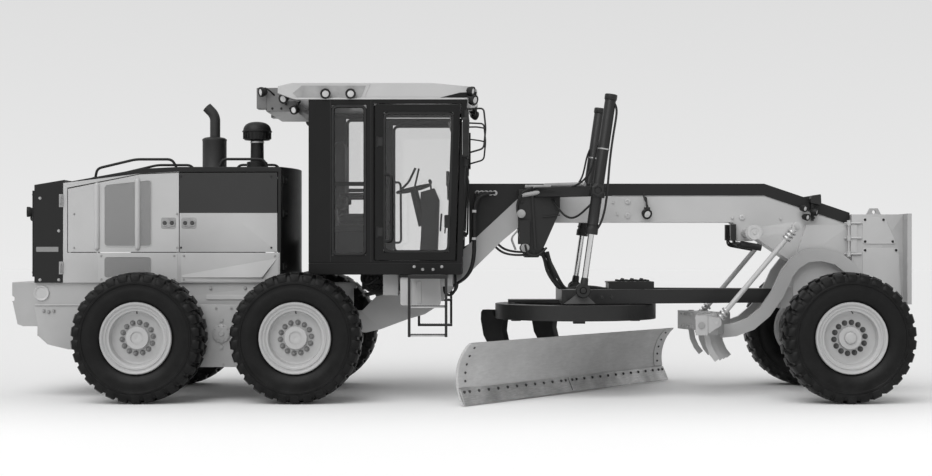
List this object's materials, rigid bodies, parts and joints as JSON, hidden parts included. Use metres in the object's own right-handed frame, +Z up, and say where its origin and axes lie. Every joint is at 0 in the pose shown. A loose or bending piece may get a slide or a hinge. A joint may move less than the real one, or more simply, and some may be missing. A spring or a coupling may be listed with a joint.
{
  "type": "motor grader",
  "caption": "Articulated road grader: tandem drive rear, glazed cab, arched boom with turning blade, mid scarifier, leaning steered front wheels and front push block.",
  "frame": {"origin": "on the ground below the middle of the machine's length and width", "axes": "+X forward, +Y to the machine's left, +Z up"},
  "size_m": [9.186, 3.0256, 3.1628],
  "materials": {
    "light_paint": "satin",
    "dark_paint": "satin",
    "rim_paint": "satin",
    "tyre_rubber": "matte",
    "cast_metal": "matte",
    "worn_steel": "brushed",
    "rod_chrome": "polished",
    "cab_glass": "clear",
    "cab_plastic": "matte",
    "seat_cloth": "woven"
  },
  "bodies": {
    "rear_chassis": {"rear_frame": "light_paint", "tandem_cases": "light_paint", "rear_bumper": "dark_paint", "engine": "cast_metal", "hood_shell": "light_paint", "exhaust_stack": "dark_paint", "air_precleaner": "dark_paint"},
    "hood_door_rear_right": {"hood_door_rear_right": "light_paint"},
    "hood_door_rear_left": {"hood_door_rear_left": "light_paint"},
    "hood_door_front_right": {"hood_door_front_right": "light_paint"},
    "hood_door_front_left": {"hood_door_front_left": "light_paint"},
    "rear_grille_door": {"rear_grille_door": "dark_paint"},
    "front_chassis": {"main_frame": "light_paint", "push_block": "light_paint", "cab_base": "dark_paint", "cab_frame": "dark_paint", "cab_glass": "cab_glass", "cab_roof": "light_paint", "seat_pedestal": "cab_plastic", "seat_cushion": "seat_cloth", "seat_back": "seat_cloth", "control_console": "cab_plastic", "access_ladders": "dark_paint", "mirrors": "dark_paint", "blade_saddle": "light_paint", "lift_cylinder_barrels": "light_paint", "front_axle": "light_paint"},
    "cab_door_right": {"cab_door_right": "dark_paint"},
    "cab_door_left": {"cab_door_left": "dark_paint"},
    "steering_wheel": {"steering_wheel": "cab_plastic"},
    "lift_rods": {"lift_rods": "rod_chrome"},
    "drawbar": {"drawbar": "light_paint"},
    "circle": {"circle": "worn_steel"},
    "blade_carrier": {"blade_carrier": "worn_steel", "shift_cylinder_barrel": "dark_paint"},
    "moldboard": {"moldboard": "worn_steel", "cutting_edge": "worn_steel", "shift_cylinder_rod": "rod_chrome"},
    "scarifier_frame": {"scarifier_frame": "light_paint"},
    "scarifier_rocker": {"scarifier_rocker": "light_paint"},
    "scarifier_links": {"scarifier_links": "light_paint"},
    "lean_yoke_right": {"lean_yoke_right": "light_paint"},
    "lean_yoke_left": {"lean_yoke_left": "light_paint"},
    "knuckle_right": {"knuckle_right": "light_paint"},
    "knuckle_left": {"knuckle_left": "light_paint"},
    "lean_bar": {"lean_bar": "light_paint"},
    "tie_swivel": {"tie_swivel": "worn_steel"},
    "tie_rod": {"tie_rod": "light_paint"},
    "wheel_front_right": {"tyre_front_right": "tyre_rubber", "rim_front_right": "rim_paint"},
    "wheel_front_left": {"tyre_front_left": "tyre_rubber", "rim_front_left": "rim_paint"},
    "wheel_middle_right": {"tyre_middle_right": "tyre_rubber", "rim_middle_right": "rim_paint"},
    "wheel_middle_left": {"tyre_middle_left": "tyre_rubber", "rim_middle_left": "rim_paint"},
    "wheel_rear_right": {"tyre_rear_right": "tyre_rubber", "rim_rear_right": "rim_paint"},
    "wheel_rear_left": {"tyre_rear_left": "tyre_rubber", "rim_rear_left": "rim_paint"}
  },
  "joints": [
    {"name": "articulation", "type": "hinge", "parent": "rear_chassis", "child": "front_chassis", "pos_m": [-1.3, 0, 0.9], "axis": [0, 0, 1], "range_deg": [-22, 22]},
    {"name": "wheel_middle_right_spin", "type": "hinge", "parent": "rear_chassis", "child": "wheel_middle_right", "pos_m": [-1.613, -1.045, 0.64], "axis": [0, 1, 0], "continuous": true},
    {"name": "wheel_middle_left_spin", "type": "hinge", "parent": "rear_chassis", "child": "wheel_middle_left", "pos_m": [-1.613, 1.045, 0.64], "axis": [0, 1, 0], "continuous": true},
    {"name": "wheel_rear_right_spin", "type": "hinge", "parent": "rear_chassis", "child": "wheel_rear_right", "pos_m": [-3.153, -1.045, 0.64], "axis": [0, 1, 0], "continuous": true},
    {"name": "wheel_rear_left_spin", "type": "hinge", "parent": "rear_chassis", "child": "wheel_rear_left", "pos_m": [-3.153, 1.045, 0.64], "axis": [0, 1, 0], "continuous": true},
    {"name": "hood_door_front_right_hinge", "type": "hinge", "parent": "rear_chassis", "child": "hood_door_front_right", "pos_m": [-1.89, -0.563, 1.6], "axis": [0, 0, 1], "range_deg": [0, 95]},
    {"name": "hood_door_rear_right_hinge", "type": "hinge", "parent": "rear_chassis", "child": "hood_door_rear_right", "pos_m": [-3.97, -0.563, 1.6], "axis": [0, 0, -1], "range_deg": [0, 95]},
    {"name": "hood_door_front_left_hinge", "type": "hinge", "parent": "rear_chassis", "child": "hood_door_front_left", "pos_m": [-1.89, 0.563, 1.6], "axis": [0, 0, 1], "range_deg": [-95, 0]},
    {"name": "hood_door_rear_left_hinge", "type": "hinge", "parent": "rear_chassis", "child": "hood_door_rear_left", "pos_m": [-3.97, 0.563, 1.6], "axis": [0, 0, -1], "range_deg": [-95, 0]},
    {"name": "rear_grille_door_hinge", "type": "hinge", "parent": "rear_chassis", "child": "rear_grille_door", "pos_m": [-4.352, 0.515, 1.6], "axis": [0, 0, -1], "range_deg": [0, 100]},
    {"name": "cab_door_right_hinge", "type": "hinge", "parent": "front_chassis", "child": "cab_door_right", "pos_m": [-0.848, -0.78, 2], "axis": [0, 0, -1], "range_deg": [0, 88]},
    {"name": "cab_door_left_hinge", "type": "hinge", "parent": "front_chassis", "child": "cab_door_left", "pos_m": [-0.848, 0.78, 2], "axis": [0, 0, -1], "range_deg": [-88, 0]},
    {"name": "steering_wheel_turn", "type": "hinge", "parent": "front_chassis", "child": "steering_wheel", "pos_m": [-0.52, 0, 2.14], "axis": [-0.23, 0, 0.9732], "range_deg": [-91, 91]},
    {"name": "lean_right", "type": "hinge", "parent": "front_chassis", "child": "lean_yoke_right", "pos_m": [3.777, -0.72, 0.56], "axis": [-1, 0, 0], "range_deg": [-18, 18]},
    {"name": "lean_left", "type": "hinge", "parent": "front_chassis", "child": "lean_yoke_left", "pos_m": [3.777, 0.72, 0.56], "axis": [-1, 0, 0], "range_deg": [-18, 18]},
    {"name": "steer_right", "type": "hinge", "parent": "lean_yoke_right", "child": "knuckle_right", "pos_m": [3.777, -0.72, 0.56], "axis": [0, 0, 1], "range_deg": [-45, 45]},
    {"name": "steer_left", "type": "hinge", "parent": "lean_yoke_left", "child": "knuckle_left", "pos_m": [3.777, 0.72, 0.56], "axis": [0, 0, 1], "range_deg": [-45, 45]},
    {"name": "wheel_front_right_spin", "type": "hinge", "parent": "knuckle_right", "child": "wheel_front_right", "pos_m": [3.777, -1.045, 0.64], "axis": [0, 1, 0], "continuous": true},
    {"name": "wheel_front_left_spin", "type": "hinge", "parent": "knuckle_left", "child": "wheel_front_left", "pos_m": [3.777, 1.045, 0.64], "axis": [0, 1, 0], "continuous": true},
    {"name": "lean_bar_turn", "type": "hinge", "parent": "lean_yoke_right", "child": "lean_bar", "pos_m": [3.964, -0.72, 0.81], "axis": [-1, 0, 0], "range_deg": [-18, 18]},
    {"name": "tie_swivel_turn", "type": "hinge", "parent": "knuckle_right", "child": "tie_swivel", "pos_m": [3.557, -0.72, 0.322], "axis": [0, 0, 1], "range_deg": [-45, 45]},
    {"name": "tie_rod_turn", "type": "hinge", "parent": "tie_swivel", "child": "tie_rod", "pos_m": [3.557, -0.72, 0.322], "axis": [-1, 0, 0], "range_deg": [-18, 18]},
    {"name": "drawbar_lift", "type": "hinge", "parent": "front_chassis", "child": "drawbar", "pos_m": [3.29, 0, 1], "axis": [0, 1, 0], "range_deg": [0, 9]},
    {"name": "lift_rod_slide", "type": "slide", "parent": "front_chassis", "child": "lift_rods", "axis": [0.1424, 0, 0.9898], "range_m": [0, 0.3275]},
    {"name": "circle_turn", "type": "hinge", "parent": "drawbar", "child": "circle", "pos_m": [1.175, 0, 0.86], "axis": [0, 0, 1], "range_deg": [-8, 76]},
    {"name": "blade_pitch", "type": "hinge", "parent": "circle", "child": "blade_carrier", "pos_m": [0.91574, 0.20417, 0.3], "axis": [0.6187, 0.7856, 0], "range_deg": [-10, 2]},
    {"name": "blade_shift", "type": "slide", "parent": "blade_carrier", "child": "moldboard", "axis": [0.6187, 0.7856, 0], "range_m": [-0.45, 0.45]},
    {"name": "scarifier_lift", "type": "hinge", "parent": "front_chassis", "child": "scarifier_frame", "pos_m": [4.08, -0.272, 1.18], "axis": [0, -1, 0], "range_deg": [-1, 13]},
    {"name": "scarifier_rocker_turn", "type": "hinge", "parent": "front_chassis", "child": "scarifier_rocker", "pos_m": [2.935, 0, 1.672], "axis": [0, -1, 0], "range_deg": [-30, 3]},
    {"name": "scarifier_link_turn", "type": "hinge", "parent": "scarifier_rocker", "child": "scarifier_links", "pos_m": [3.365, -0.64, 1.73], "axis": [0, -1, 0], "range_deg": [-4, 38]}
  ],
  "couplings": [
    {"joint": "lean_left", "follows": "lean_right", "ratio": 1},
    {"joint": "lean_bar_turn", "follows": "lean_right", "ratio": -1},
    {"joint": "tie_rod_turn", "follows": "lean_right", "ratio": -1},
    {"joint": "steer_left", "follows": "steer_right", "ratio": 1},
    {"joint": "tie_swivel_turn", "follows": "steer_right", "ratio": -1},
    {"joint": "steering_wheel_turn", "follows": "steer_right", "ratio": 2},
    {"joint": "lift_rod_slide", "follows": "drawbar_lift", "m_per_rad": 2.0784},
    {"joint": "scarifier_rocker_turn", "follows": "scarifier_lift", "ratio": -2.2478},
    {"joint": "scarifier_link_turn", "follows": "scarifier_lift", "ratio": 2.9045}
  ]
}
